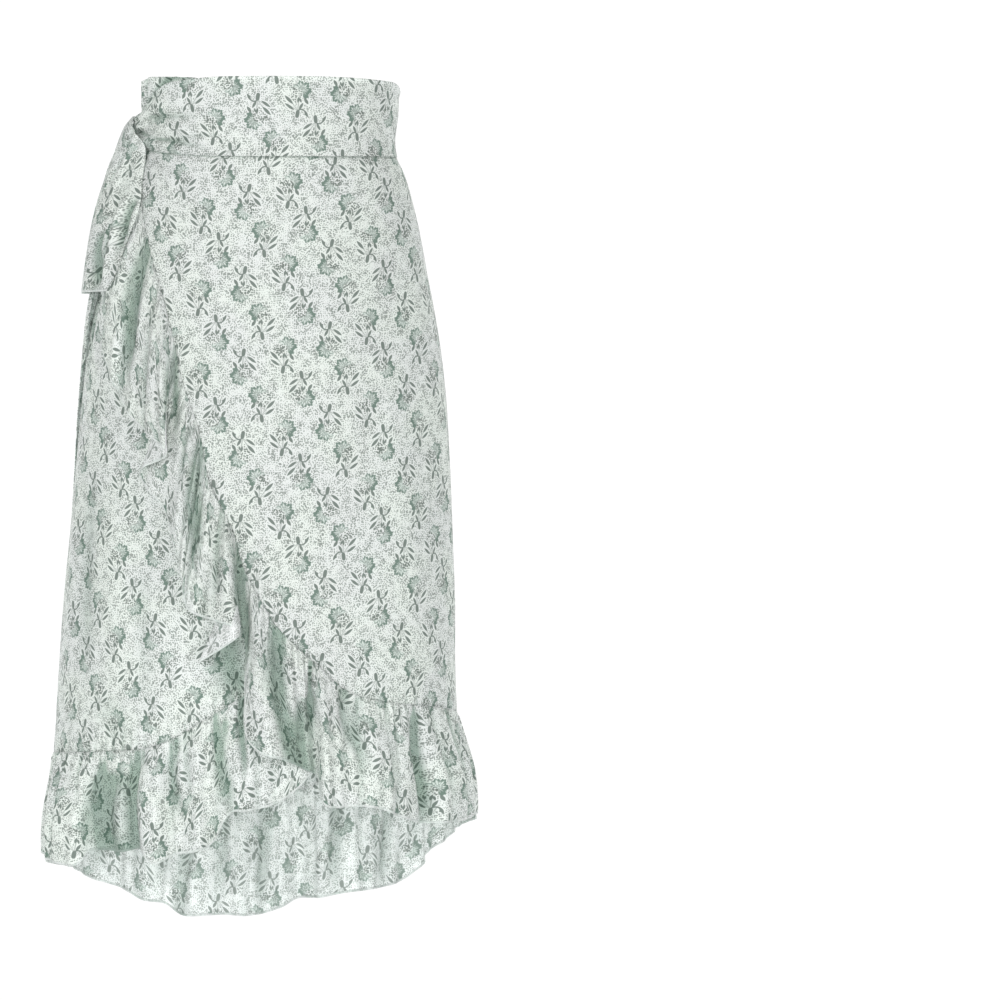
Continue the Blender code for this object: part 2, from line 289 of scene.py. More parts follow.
# Soft ridges (depth above 0) and troughs (below 0) of the cloth, each on a straight line.
CREASE = "top_angle top_height_mm bottom_angle bottom_height_mm width_mm depth_mm"
OVERLAP_CREASES = table(CREASE, """
-76 -6 -40 -75 7 1.4
-72 -4 -22 -55 9 1.2
-66 -14 -32 -120 6 1.1
-58 -3 -5 -26 6 0.9
-44 -85 -18 -215 11 1.3
-8 -180 6 -440 22 1.2
22 -60 27 -480 30 1.4
47 -200 52 -560 26 1.8
66 -60 68 -380 24 1.6
80 -300 79 -570 18 1.6
""")
UNDERLAP_CREASES = table(CREASE, """
-81 -125 -84 -250 12 -5.5
-76.5 -130 -81.5 -245 6 -7
-62 -340 -60 -560 14 -3.2
-4.5 -496 -7 -585 18 -8.5
-44 -560 -42 -640 20 -2
-74 -300 -70 -600 14 1.8
-47 -360 -44 -600 16 1.6
-34 -420 -33 -610 10 -1.6
-24 -480 -20 -600 12 1.2
""")
BACK_CREASES = table(CREASE, """
146 -380 140 -650 20 -5
133 -300 128 -640 18 2.6
157 -250 154 -640 24 2.2
223 -420 225 -650 16 -3.5
211 -330 212 -650 18 1.8
238 -260 236 -630 18 2
183 -150 186 -600 34 1.2
103 -120 101 -560 22 1.4
257 -160 255 -560 22 1.4
""")
OVERLAP_FRILL_CREASES = table(CREASE, """
-46 -94 -46 -250 15 -8.5
-60 -60 -59 -150 6 -3.5
-38 -150 -36 -270 7 -2.6
-27.4 -195 -26.9 -310 5.8 -6.2
-21 -290 -24 -360 5 -4
-17.5 -300 -18.5 -450 9.5 -7
-10 -370 -11.5 -480 6 -4
-4.6 -395 -1.4 -565 7.2 -9.5
7 -497 9.2 -665 12 -10
16.8 -533 16.2 -600 3.8 -7.5
16 -570 13.6 -710 13.5 -9.5
26.8 -560 26.4 -640 7.5 -7
31 -570 30 -660 9 -4.5
40 -575 38.5 -670 5 -3
51.5 -581 51.5 -640 3.5 -6
51.8 -590 52.5 -715 10 -10
60 -584 60 -670 6 -3.5
71 -586 70 -690 9 -5.5
83 -590 83 -680 6 -4
""")
UNDERLAP_FRILL_CREASES = table(CREASE, """
-80 -632 -79 -740 9 -5
-67 -632 -66 -735 7 -4
-57 -630 -56 -690 5 -4
-47 -638 -45.5 -760 10 -7.5
-43 -650 -41 -800 33 -10.5
-33.6 -627 -33.6 -765 9.2 -10
-21.8 -613 -21.6 -705 7.5 -7.5
-18 -606 -18 -680 7 -3
-10 -586 -9.5 -640 4.5 -6
-7.6 -594 -7.6 -705 8.5 -7.5
-2.6 -564 -2.2 -665 5 -8.5
6 -550 6 -640 5 -4.5
""")
BACK_FRILL_CREASES = table(CREASE, """
97 -600 98 -690 7 -4.5
109 -615 109 -720 9 -6
122 -640 122 -730 6 -4
131 -652 132 -750 7 -4
141.5 -659 142 -710 4 -6
142 -670 143 -790 9.5 -9
150 -660 150 -715 4.5 -5.5
159 -664 159 -795 7.5 -8.5
169 -679 169 -740 5 -4
179 -680 179.5 -815 8.5 -7.5
187 -680 187.5 -760 4.5 -4
190.8 -680 190.6 -800 6 -7.5
201 -690 202 -835 10 -8.5
207.6 -679 207.6 -790 6 -8
217 -665 217 -760 7 -4.5
228.5 -658 228.8 -700 4 -5
228.5 -670 229 -775 9.5 -8.5
237 -653 236 -730 6 -4
249 -646 249 -740 8 -6
259 -640 259 -720 6 -4.5
""")
FRONT_BAND_CREASES = table(CREASE, """
-80 20 -26 -1 3.2 -2.6
-80 12 -40 -1 4 2.8
-70 38 -30 31 3.4 -1.4
-80 26 -40 20 4 2.6
-80 31 -56 36 3 -2.2
-78 34 -54 48 3 1.4
-66 12 -20 13 3.4 -1.2
-60 22 -14 24 5 1.2
-52 52 -24 64 4 1
""")
TIE_CREASES = table(CREASE, """
204 36 258 26 3 -3.4
216 50 258 32 3.4 2.8
198 14 258 20 3.4 2.6
222 22 259 23 2.6 -2.4
160 8 236 12 5 1.4
120 50 190 56 6 1
""")
INNER_BAND_CREASES = table(CREASE, """
320 87.5 262 18.5 4.2 -6
345 79 306 73.5 3 -3
276 92 279 0 4 -4.4
281.5 92 283 0 3.4 3
287.5 92 286 0 3.2 -3.6
295 88 289 10 3 1.4
262 88 268 10 3 1.4
236 88 250 30 4 -1.6
""")
SHORT_TAIL_CREASES = table(CREASE, """
-74 -83 -70.5 -148 14 -10
-68 -85 -67 -145 4.5 -5
-64.5 -50 -63 -160 6 4
-75 22 -80 -50 4.5 -4.2
-74 20 -74 -60 6 2.2
-60 -50 -60.5 -112 9 -6
""")
LONG_TAIL_CREASES = table(CREASE, """
-99 -30 -107 -430 5 -1.6
-105 -30 -115 -460 6 1.2
-86.5 -90 -91 -270 7 -3
""")


# Curves, distances and waves.

ARM = 0.19  # metres of cloth for each radian round the form, where creases are laid out
CREASE_BEND = 0.35  # how far a crease bends aside, as a share of its width
CREASE_TURNS = 0.9  # how many turns of a sine it bends in
CREASE_START = -0.05  # share of its length where it starts
CREASE_FADE = (0.6, 1.05)  # and shares between which it fades out
SHOULDER_SPREAD = 0.4  # how much wider its bell curve is for a full shoulder
GATHER_DRIFT = ((1.3, 4.3), (0.9, 11.7))  # how far gathers drift, in radians, and over how many
FINE_GATHERS = (0.45, 0.57, 2.0)  # depth and pitch as shares of a gather's, and start in radians


def smooth(at, knots, values):
    """Values on one smooth curve through the knots: a cubic Hermite piece between each pair."""
    slopes = np.gradient(values, knots)
    piece = np.clip(np.searchsorted(knots, at) - 1, 0, len(knots) - 2)
    step = knots[piece + 1] - knots[piece]
    t = np.clip((at - knots[piece]) / step, 0, 1)
    rise = ease(0, 1, t)
    leaving = t * (1 - t) ** 2 * step * slopes[piece]
    arriving = t * t * (t - 1) * step * slopes[piece + 1]
    return values[piece] + rise * (values[piece + 1] - values[piece]) + leaving + arriving


def ease(low, high, at):
    """0 below low, 1 above high, and a soft step between: three t squared less two t cubed."""
    t = np.clip((at - low) / (high - low), 0, 1)
    return t * t * (3 - 2 * t)


def bell(distance, width):
    """A bell curve: e to the power of minus the square of distance over width."""
    return np.exp(-((distance / width) ** 2))


def stacked(*parts):
    """Coordinates of one common shape, side by side on a new last axis."""
    return np.stack(np.broadcast_arrays(*parts), axis=-1)


def unit(vectors):
    """Vectors on the last axis, each divided by its length."""
    return vectors / np.linalg.norm(vectors, axis=-1, keepdims=True)


def form_at(height):
    """Centre and half sizes of the form's ellipse at each height."""
    columns = ("centre_x", "centre_y", "half_width", "half_depth")
    return (smooth(height, FORM["height"], FORM[name]) for name in columns)


def on_form(angle, height, out):
    """Points at an angle and a height: the half sizes times the angle's sine and minus its cosine,
    moved `out` along the outward normal, which is those two divided by the half sizes."""
    centre_x, centre_y, half_width, half_depth = form_at(height)
    turn = np.radians(angle)
    normal = np.stack([np.sin(turn) / half_width, -np.cos(turn) / half_depth])
    normal = normal / np.linalg.norm(normal, axis=0)
    x = centre_x + half_width * np.sin(turn) + out * normal[0]
    y = centre_y - half_depth * np.cos(turn) + out * normal[1]
    return stacked(x, y, height)


def round_form(start, angle, height):
    """Distance round the form's ellipse from one angle to another, summed over short chords."""
    _, _, half_width, half_depth = form_at(height)
    parts = 32
    along = (np.arange(parts) + 0.5) / parts
    turn = np.radians(start + (angle - start)[..., None] * along)
    speed = np.hypot(half_width[..., None] * np.cos(turn), half_depth[..., None] * np.sin(turn))
    return speed.mean(axis=-1) * np.radians(angle - start)


def run_of(points, axis):
    """Distance along a grid of points from its first row or column, on the given axis."""
    steps = np.linalg.norm(np.diff(points, axis=axis), axis=-1)
    first = np.zeros_like(np.take(steps, [0], axis=axis))
    return np.concatenate([first, np.cumsum(steps, axis=axis)], axis=axis)


def rows_of(folds, steps):
    """Each column of a fold table, read at `steps` points from each row to the next."""
    count = len(folds["seam_angle"])
    knots = np.arange(count, dtype=float)
    at = np.linspace(0, count - 1, (count - 1) * steps + 1)
    return {name: smooth(at, knots, column) for name, column in folds.items()}


def overlap_out(angle):
    """The overlap lies on the underlap, and comes in to the form at its own side seam."""
    return LAYER * (1 - ease(LAYER_END, SIDE_SEAM, angle))


def front_waist(angle):
    """Height of the front band's lower edge, which dips in the middle, outside of the knot."""
    dip = smooth(angle, FRONT_BAND["angle"], FRONT_BAND["bottom"])
    return np.minimum(dip, 0.0)


def gather_wave(run, spacing):
    """Uneven gathers along a seam: a sine whose pitch drifts, with a finer one on top."""
    drift = sum(turn * np.sin(tau * run / (over * spacing)) for turn, over in GATHER_DRIFT)
    share, pitch, start = FINE_GATHERS
    fine = share * np.sin(tau * run / (pitch * spacing) + start)
    return np.sin(tau * run / spacing + drift) + fine


def soft_creases(creases, angle, height, start=0.3, shoulder=0.0):
    """Sum of ridges and troughs: each a bell curve across its line, with a shoulder of the other
    sign on both sides. It eases in over the share of its length that start gives, and out over
    its lower part."""
    across, up = np.radians(angle) * ARM, height
    out = np.zeros(np.broadcast(across, up).shape)
    for a0, z0, a1, z1, width, depth in zip(*creases.values()):
        x0, x1 = radians(a0) * ARM, radians(a1) * ARM
        length = np.hypot(x1 - x0, z1 - z0)
        along = ((across - x0) * (x1 - x0) + (up - z0) * (z1 - z0)) / length**2
        aside = ((across - x0) * (z1 - z0) - (up - z0) * (x1 - x0)) / length
        bend = CREASE_BEND * width * np.sin(tau * along * CREASE_TURNS)
        fade = ease(CREASE_START, start, along) * (1 - ease(*CREASE_FADE, along))
        off = ((aside - bend) / width) ** 2
        curve = np.exp(-off / (1 + SHOULDER_SPREAD * shoulder))
        out += depth * fade * (1 - shoulder * off) * curve
    return out


# Meshes.

HEM_SIDES = 8  # sides of a rolled hem's tube
HEM_ROUND = 0.003  # flat way round it
HEM_INSET = 0.5  # how far it lies in from the cloth's edge, as a share of its half width
LEAST_CUT = 0.31  # least share of its length times its width that a sheet's area is taken as


def cloth_mesh(name, points, faces, uv, fold):
    """A mesh with two values at each point: uv is its flat place in metres, and fold says how deep
    it lies in a trough, from 0 to 1, or below 0 on a ridge; the materials paint shade into troughs
    by it."""
    mesh = bpy.data.meshes.new(name)
    mesh.from_pydata(points.reshape(-1, 3).tolist(), [], faces)
    corners = np.zeros(len(mesh.loops), np.int32)
    mesh.loops.foreach_get("vertex_index", corners)
    flat = mesh.uv_layers.new(name="flat_cloth")
    flat.data.foreach_set("uv", uv.reshape(-1, 2)[corners].ravel())
    depth = mesh.attributes.new("fold", "FLOAT", "POINT")
    depth.data.foreach_set("value", np.clip(fold, -1, 1).astype(np.float32).ravel())
    mesh.shade_smooth()
    return mesh


def grid_mesh(name, points, uv, fold):
    """A mesh over a grid of points, columns by rows, whose faces look out when the columns go
    towards +X on the front and the rows go down."""
    columns, rows = points.shape[:2]
    index = np.arange(columns * rows).reshape(columns, rows)
    corners = (index[:-1, :-1], index[:-1, 1:], index[1:, 1:], index[1:, :-1])
    return cloth_mesh(name, points, stacked(*corners).reshape(-1, 4).tolist(), uv, fold)


def tube_mesh(name, edge, across, through, fold):
    """A tube along an edge: each ring is the edge's point plus across times a cosine plus through
    times a sine, and each end is closed with one face."""
    turn = tau * np.arange(HEM_SIDES) / HEM_SIDES
    ring = np.cos(turn)[:, None] * across[:, None, :] + np.sin(turn)[:, None] * through[:, None, :]
    index = np.arange(len(edge) * HEM_SIDES).reshape(-1, HEM_SIDES)
    near, far = index[:-1], index[1:]
    corners = (near, far, np.roll(far, -1, axis=1), np.roll(near, -1, axis=1))
    caps = [index[0].tolist(), index[-1][::-1].tolist()]
    faces = stacked(*corners).reshape(-1, 4).tolist() + caps
    uv = stacked(run_of(edge, 0)[:, None], HEM_ROUND * turn / tau)
    return cloth_mesh(name, edge[:, None, :] + ring, faces, uv, np.repeat(fold, HEM_SIDES))


def linked(name, data):
    """A new object in the scene, made of a mesh, a light or a camera."""
    thing = bpy.data.objects.new(name, data)
    bpy.context.scene.collection.objects.link(thing)
    return thing


def add_piece(name, mesh, nodes, materials):
    """A piece of the skirt in the scene: it rides on the body and stands for its solids."""
    for material in materials:
        mesh.materials.append(material)
    piece = linked(name, mesh)
    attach(piece, "root")
    if nodes:
        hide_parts(*nodes)
    return piece


def add_hem(name, points, fold):
    """The narrow rolled hem on the last row of a grid: an oval tube, wider along the cloth."""
    cloth = bpy.context.scene.wrap_skirt_cloth
    edge, inner = points[:, -1], points[:, -2]
    across = unit(inner - edge)
    through = unit(np.cross(np.gradient(edge, axis=0), across))
    half = cloth.hem_width / 2
    centre = edge + across * half * HEM_INSET + through * cloth.thickness / 2
    # painted shade: the hem takes the fold value of the cloth's last row, so it darkens in the
    # troughs
    mesh = tube_mesh(name, centre, across * half, through * cloth.hem_thickness / 2, fold[:, -1])
    return add_piece(name, mesh, [], [hem_material()])


def add_cloth(name, points, uv, fold, node, held, rests_on, hemmed=False):
    """A piece of cloth: a thin shell over a grid of points, with the cloth's wrong side inside.
    The size and area of its cut are worked out from its flat places and its grid."""
    pieces = [add_hem(f"{name}_hem", points, fold)] if hemmed else []
    piece = add_piece(name, grid_mesh(name, points, uv, fold), [node], chiffon())
    wall = piece.modifiers.new("wall", "SOLIDIFY")
    wall.thickness = bpy.context.scene.wrap_skirt_cloth.thickness
    wall.offset = 1.0
    wall.material_offset = 1
    wall.material_offset_rim = 0
    side = np.diff(points, axis=0)[:, :-1]
    down = np.diff(points, axis=1)[:-1]
    area = np.linalg.norm(np.cross(side, down), axis=-1).sum()
    width, length = np.ptp(uv.reshape(-1, 2), axis=0).tolist()
    area = float(np.clip(area, LEAST_CUT * width * length, width * length))
    return piece


# Materials.


class NodeTree:
    """Short calls that add nodes to one node tree and join them."""

    def __init__(self, tree):
        self.tree = tree

    def node(self, kind, inputs=(), prefix="ShaderNode", **settings):
        """A new node with its settings, and with numbers or sockets put into its inputs."""
        node = self.tree.nodes.new(prefix + kind)
        for name, value in settings.items():
            setattr(node, name, value)
        for name, value in dict(inputs).items():
            self.put(node.inputs[name], value)
        return node

    def put(self, socket, value):
        """Join a socket to an input, or set a value on it."""
        if isinstance(value, bpy.types.NodeSocket):
            self.tree.links.new(value, socket)
        else:
            socket.default_value = value

    def math(self, operation, *values):
        """A Math node's result for up to three numbers or sockets."""
        node = self.node("Math", operation=operation)
        for socket, value in zip(node.inputs, values):
            self.put(socket, value)
        return node.outputs[0]

    def times(self, first, second):
        """The product of two values."""
        return self.math("MULTIPLY", first, second)

    def line(self, first, second, third):
        """The first value times the second plus the third, as on a straight line."""
        return self.math("MULTIPLY_ADD", first, second, third)

    def length(self, along, across):
        """The root of along squared plus across squared."""
        return self.math("SQRT", self.line(along, along, self.times(across, across)))

    def step(self, low, high, value):
        """A soft step from 0 at low to 1 at high, or the other way round if low is larger."""
        inputs = {"Value": value, "From Min": low, "From Max": high}
        node = self.node("MapRange", inputs, interpolation_type="SMOOTHSTEP")
        return node.outputs["Result"]

    def noise(self, vector, **inputs):
        """A flat Noise pattern, from 0 to 1."""
        inputs = {"Vector": vector, **inputs}
        return self.node("TexNoise", inputs, noise_dimensions="2D").outputs["Fac"]

    def placed(self, vector, place, turn, size):
        """Coordinates of a motif that lies at a place, turned by degrees, with half sizes 1."""
        inputs = {
            "Vector": vector,
            "Location": (*place, 0.0),
            "Rotation": (0.0, 0.0, radians(turn)),
            "Scale": (*size, 1.0),
        }
        node = self.node("Mapping", inputs, vector_type="TEXTURE")
        return self.node("SeparateXYZ", {"Vector": node.outputs[0]}).outputs

    def mixed(self, share, first, second, blend="MIX"):
        """One colour turned into another, or multiplied by it, by a share."""
        node = self.node("Mix", data_type="RGBA", blend_type=blend)
        for index, value in ((0, share), (6, first), (7, second)):
            self.put(node.inputs[index], value)
        return node.outputs[2]


def cleared(owner):
    """The empty node tree of a material or a world."""
    owner.use_nodes = True
    owner.node_tree.nodes.clear()
    return NodeTree(owner.node_tree)


# A sprig's parts in millimetres from its middle: place, angle in degrees and half sizes.
PART = "x y turn half_length half_width"
LEAVES = table(PART, """
-6.9 -2.7 56 4 1.6
1.2 -1.2 102 3.2 1.2
-1 -1.9 72 2.5 1
10.9 -1.2 46 6.4 1.6
10.2 -8.4 36 6 1.45
-1.6 -8 120 4.4 1.4
-7.2 -16 64 4.4 1.3
""")
STEMS = table(PART, """
1.2 -6.5 96 10.5 0.6
5.8 -6.8 54 8.6 0.55
5.2 -10.4 30 5 0.5
-2.6 -13 120 5 0.5
""")
BUD = dict(place=(2.0, -16.0), turn=-80.0, size=(4.2, 2.0))
TENDRIL = dict(place=(-1.8, -15.4), turn=115.0, size=(4.2, 4.2))
FLOWER = dict(place=(-2.4, 8.7), turn=142.0, size=(10.6, 10.6))

# Waves round the flower, each a factor of the angle and a start, in radians.
LOBES = (3.4, 0.7)
TEETH = (3.0, 9.0)
STREAKS = (15.0, 2.0)
PETAL_EDGE = (1.04, 0.97)  # shares of the edge's distance at which it has ended and is full
PETAL_BACK = (2.15, 1.95)  # the same for its angle from the front, in radians
DOT_BLUR = 0.07
CLEARING = (1.5, 2.3)  # how far from a leaf, in half widths, dots begin and are full


def sprig_print():
    """The print's masks as a node group. The flat place in metres is first turned into a place in
    one cell of a lattice with two columns and two rows of sprigs, each a mirror image of its
    neighbours. A leaf is where |across| plus along squared is under 1, a bud where across squared
    plus along to the fourth is, and a tendril is the front of a circle's line. The flower is a
    disc without a wedge at its back, whose edge goes in and out in lobes and teeth, with a darker
    rim and radial veins. The ground's dots are cells of a Voronoi pattern."""
    group = bpy.data.node_groups.get("sprig_print")
    if group:
        return group
    look = bpy.context.scene.wrap_skirt_print
    group = bpy.data.node_groups.new("sprig_print", "ShaderNodeTree")
    group.interface.new_socket("Flat", in_out="INPUT", socket_type="NodeSocketVector")
    for name in ("Leaf", "Rim", "Petal", "Dots"):
        group.interface.new_socket(name, in_out="OUTPUT", socket_type="NodeSocketFloat")
    t = NodeTree(group)
    flat = t.node("GroupInput", prefix="Node").outputs["Flat"]
    xyz = t.node("SeparateXYZ", {"Vector": flat}).outputs
    x, y = (t.times(xyz[axis], MM_PER_METRE) for axis in (0, 1))

    column_width, row_height = MM_PER_METRE * look.column_spacing, MM_PER_METRE * look.row_spacing
    shift = MM_PER_METRE * look.row_shift
    level = t.line(x, -look.lean, y)
    row = t.math("ROUND", t.math("DIVIDE", level, row_height))
    odd_row = t.math("PINGPONG", row, 1.0)
    along_row = t.line(odd_row, -shift, x)
    column = t.math("ROUND", t.math("DIVIDE", along_row, column_width))
    odd_column = t.math("PINGPONG", column, 1.0)
    centre = t.line(column, column_width, t.times(odd_row, shift))
    local_x = t.math("SUBTRACT", x, centre)
    local_y = t.math("SUBTRACT", y, t.times(row, row_height))
    local_y = t.line(centre, -look.lean, local_y)
    unlike = t.math("ABSOLUTE", t.math("SUBTRACT", odd_row, odd_column))
    flip_x = t.line(unlike, -2.0, 1.0)
    flip_y = t.line(odd_column, -2.0, 1.0)
    inputs = {"X": t.times(local_x, flip_x), "Y": t.times(local_y, flip_y)}
    sprig = t.node("CombineXYZ", inputs).outputs[0]

    def nearest(shapes):
        """The least leaf value of a table's rows."""
        found = None
        for px, py, turn, *size in zip(*shapes.values()):
            along, across, _ = t.placed(sprig, (px, py), turn, size)
            value = t.line(along, along, t.math("ABSOLUTE", across))
            found = value if found is None else t.math("MINIMUM", found, value)
        return found

    leaves = nearest(LEAVES)
    along, across, _ = t.placed(sprig, **BUD)
    bud = t.line(t.math("POWER", along, 4.0), 1.0, t.times(across, across))
    along, across, _ = t.placed(sprig, **TENDRIL)
    off_line = t.math("ABSOLUTE", t.math("SUBTRACT", t.length(along, across), 1.0))
    curl = t.math("MAXIMUM", t.times(off_line, 6.0), t.line(along, -3.0, 1.0))
    dark = t.math("MINIMUM", t.math("MINIMUM", leaves, bud), curl)
    stems = nearest(STEMS)

    along, across, _ = t.placed(sprig, **FLOWER)
    reach = t.length(along, across)
    turn = t.math("ABSOLUTE", t.math("ARCTAN2", across, along))
    side = t.math("ARCTAN2", across, along)
    lobes = t.math("ABSOLUTE", t.math("COSINE", t.line(side, *LOBES)))
    teeth = t.math("PINGPONG", t.line(side, *TEETH), 0.5)
    edge = t.line(lobes, 0.26, t.line(teeth, 0.28, 0.62))
    share = t.math("DIVIDE", reach, edge)
    petal = t.times(t.step(*PETAL_EDGE, share), t.step(*PETAL_BACK, turn))
    streaks = t.math("SINE", t.line(side, *STREAKS))
    shade = t.line(streaks, 0.10, t.line(side, 0.11, share))
    rim = t.times(t.step(0.48, 0.80, shade), petal)
    veins = t.times(t.step(0.35, 0.9, streaks), t.step(0.85, 0.5, reach))
    veins = t.times(veins, t.times(petal, 0.75))

    stamens = t.step(0.85, 0.55, t.line(along, 0.5, reach))
    inputs = {"Vector": flat, "Scale": 1 / look.dot_spacing, "Randomness": 0.8}
    cells = t.node("TexVoronoi", inputs, voronoi_dimensions="2D").outputs["Distance"]
    patches = t.noise(flat, Scale=115.0, Detail=2.0)
    size = t.line(patches, 0.72, t.line(stamens, 0.09, -0.045))
    dots = t.step(DOT_BLUR, -DOT_BLUR, t.math("SUBTRACT", cells, size))
    off_leaves = t.step(*CLEARING, t.math("MINIMUM", dark, stems))
    on_flower = t.times(t.step(1.12, 1.02, share), t.step(2.2, 2.0, turn))
    on_flower = t.times(on_flower, t.step(0.40, 0.55, reach))
    clear = t.times(off_leaves, t.math("SUBTRACT", 1.0, on_flower))

    faint = t.times(t.step(1.3, 0.6, stems), 0.55)
    outputs = {
        "Leaf": t.math("MAXIMUM", t.step(1.12, 0.88, dark), faint),
        "Rim": t.math("MAXIMUM", rim, veins),
        "Petal": petal,
        "Dots": t.times(dots, t.line(stamens, 0.35, clear)),
    }
    t.node("GroupOutput", outputs, prefix="Node")
    return group


def weave_height(t, flat):
    """Height of the weave: the product of warp and weft sines plus the grain of twisted yarn."""
    pitch = bpy.context.scene.wrap_skirt_cloth.yarn_spacing
    xyz = t.node("SeparateXYZ", {"Vector": flat}).outputs
    warp, weft = (t.math("SINE", t.times(xyz[axis], tau / pitch)) for axis in (0, 1))
    grain = t.noise(flat, Scale=900.0, Detail=3.0, Roughness=0.6)
    return t.line(t.times(warp, weft), 0.25, t.times(grain, 2.0))


FOLD_SHADE_COLOUR = (0.32, 0.44, 0.37, 1.0)  # painted shade: what the deepest troughs are multiplied by, partly standing for the cloth lying double there
GLOW_COLOUR = (0.42, 0.66, 0.54, 1.0)  # what light turns to on its way through the cloth


def cloth_material(name, print_share, ground, double_and_shade):
    """Printed chiffon: the print's masks turn the ground into its colours, troughs get painted
    shade from the fold attribute, partly standing for the cloth lying double there (by the share
    given for each side), part of the light comes through, and a bump gives the weave."""
    material = bpy.data.materials.get(name)
    if material:
        return material
    look = bpy.context.scene.wrap_skirt_print
    material = bpy.data.materials.new(name)
    t = cleared(material)
    flat = t.node("UVMap", uv_map="flat_cloth").outputs[0]
    masks = t.node("Group", node_tree=sprig_print())
    t.put(masks.inputs["Flat"], flat)
    patches = t.noise(flat, Scale=16.0, Detail=2.0)
    tint = t.times(t.step(0.35, 0.65, patches), 0.8)
    colour = t.mixed(tint, (*ground, 1.0), (*look.ground_tint, 1.0))
    for mask, paint, strength in (
        ("Dots", look.dots, 0.82),
        ("Petal", look.petal, 0.55),
        ("Rim", look.rim, 0.95),
        ("Leaf", look.leaf, 1.0),
    ):
        share = t.times(masks.outputs[mask], strength * print_share)
        colour = t.mixed(share, colour, (*paint, 1.0))
    # painted shade: the fold attribute darkens the colour in troughs, partly standing for the cloth
    # lying double there
    fold = t.node("Attribute", attribute_name="fold").outputs["Fac"]
    inputs = {"Value": t.times(fold, double_and_shade), "From Max": 0.9}
    deep = t.node("MapRange", inputs).outputs["Result"]
    deep = t.times(deep, look.fold_shade)
    colour = t.mixed(deep, colour, FOLD_SHADE_COLOUR, "MULTIPLY")
    inputs = {"Height": weave_height(t, flat), "Distance": 0.00004, "Strength": 0.6}
    bump = t.node("Bump", inputs).outputs[0]
    inputs = {
        "Base Color": colour,
        "Roughness": 0.88,
        "Normal": bump,
        "Sheen Weight": 0.22,
        "Sheen Roughness": 0.45,
        "Specular IOR Level": 0.18,
    }
    front = t.node("BsdfPrincipled", inputs).outputs[0]
    glow = t.mixed(look.glow_tint, colour, GLOW_COLOUR)
    through = t.node("BsdfTranslucent", {"Color": glow}).outputs[0]
    mix = t.node("MixShader", {0: look.see_through, 1: front, 2: through})
    t.node("OutputMaterial", {"Surface": mix.outputs[0]})
    return material


def chiffon():
    """The right side of the cloth and its paler wrong side."""
    look = bpy.context.scene.wrap_skirt_print
    # the last number is the share of painted shade in troughs on each side
    right = cloth_material("chiffon_right_side", 1.0, look.ground, 1.0)
    wrong = cloth_material("chiffon_wrong_side", 0.78, look.wrong_side, 0.30)
    return [right, wrong]


def hem_material():
    """The rolled hem, in which little of the print shows."""
    look = bpy.context.scene.wrap_skirt_print
    return cloth_material("rolled_hem", 0.25, look.hem, 1.0)


# Settings a user would change.


def settings_of(kind, **limits):
    """A function that makes one sort of setting from its name, its description and its default."""
    def setting(name, description, default):
        return kind(name=name, description=description, default=default, min=0.0, **limits)
    return setting


a_length = settings_of(bpy.props.FloatProperty, precision=5, subtype="DISTANCE", unit="LENGTH")
a_share = settings_of(bpy.props.FloatProperty, max=1.0, subtype="FACTOR")
a_colour = settings_of(bpy.props.FloatVectorProperty, max=1.0, size=3, subtype="COLOR")


class WrapSkirtCloth(bpy.types.PropertyGroup):
    """Sizes of the cloth and of its sewing."""

    thickness: a_length("Thickness", "Thickness of the cloth's wall", 0.0008)
    yarn_spacing: a_length("Yarn spacing", "Distance between two yarns", 0.0005)
    hem_width: a_length("Hem width", "Width of the rolled hem", 0.0028)
    hem_thickness: a_length("Hem thickness", "Thickness of the rolled hem", 0.0016)
    gather_spacing: a_length("Gather spacing", "Distance between two gathers", 0.0095)
    gather_depth: a_length("Gather depth", "Depth of the gathers at a ruffle's seam", 0.0021)
    gather_reach: a_length("Gather reach", "How far from the seam gathers fade out", 0.024)
    fold_depth: a_length("Fold depth", "Depth of the small folds down a ruffle", 0.0016)


class WrapSkirtPrint(bpy.types.PropertyGroup):
    """Layout and colours of the print, how much light passes the cloth, and how dark the painted
    shade in its troughs is.
    """

    column_spacing: a_length("Column spacing", "From one sprig to the next in a row", 0.0443)
    row_spacing: a_length("Row spacing", "From one row of sprigs to the next", 0.0432)
    row_shift: a_length("Row shift", "How far every second row is moved along", 0.0253)
    lean: bpy.props.FloatProperty(name="Lean", description="A row's rise for its run", default=0.32)
    dot_spacing: a_length("Dot spacing", "Distance between the ground's dots", 0.0020)
    see_through: a_share("See-through", "Share of light that passes the cloth", 0.45)
    glow_tint: a_share("Glow tint", "How green the light is that passes the cloth", 0.15)
    # painted shade: how much the cloth's colour is darkened in troughs, partly standing for cloth
    # lying double
    fold_shade: a_share("Fold shade", "How much darker cloth is where it lies double", 0.75)
    wrong_side: a_colour("Wrong side", "Ground of its inner side", (0.975, 0.975, 0.985))
    ground: a_colour("Ground", "The cloth's own colour", (0.87, 0.90, 0.865))
    ground_tint: a_colour("Ground tint", "Cooler patches of it", (0.865, 0.875, 0.875))
    dots: a_colour("Dots", "Dots of the ground", (0.24, 0.275, 0.25))
    leaf: a_colour("Leaf", "Leaves, buds and tendrils", (0.24, 0.28, 0.256))
    rim: a_colour("Flower edge", "Edge of a flower", (0.19, 0.265, 0.225))
    petal: a_colour("Petal", "Inside of a flower", (0.70, 0.77, 0.73))
    hem: a_colour("Hem", "The rolled hem", (0.86, 0.90, 0.88))


class WrapSkirtStudio(bpy.types.PropertyGroup):
    """The camera, the floor and the lights."""

    distance: a_length("Camera distance", "From the skirt's middle to the camera", 8.0)
    picture_width: a_length("Picture width", "Width of the picture at the skirt", 1.055)
    floor_drop: a_length("Floor drop", "From the lowest hem to the floor", 0.30)


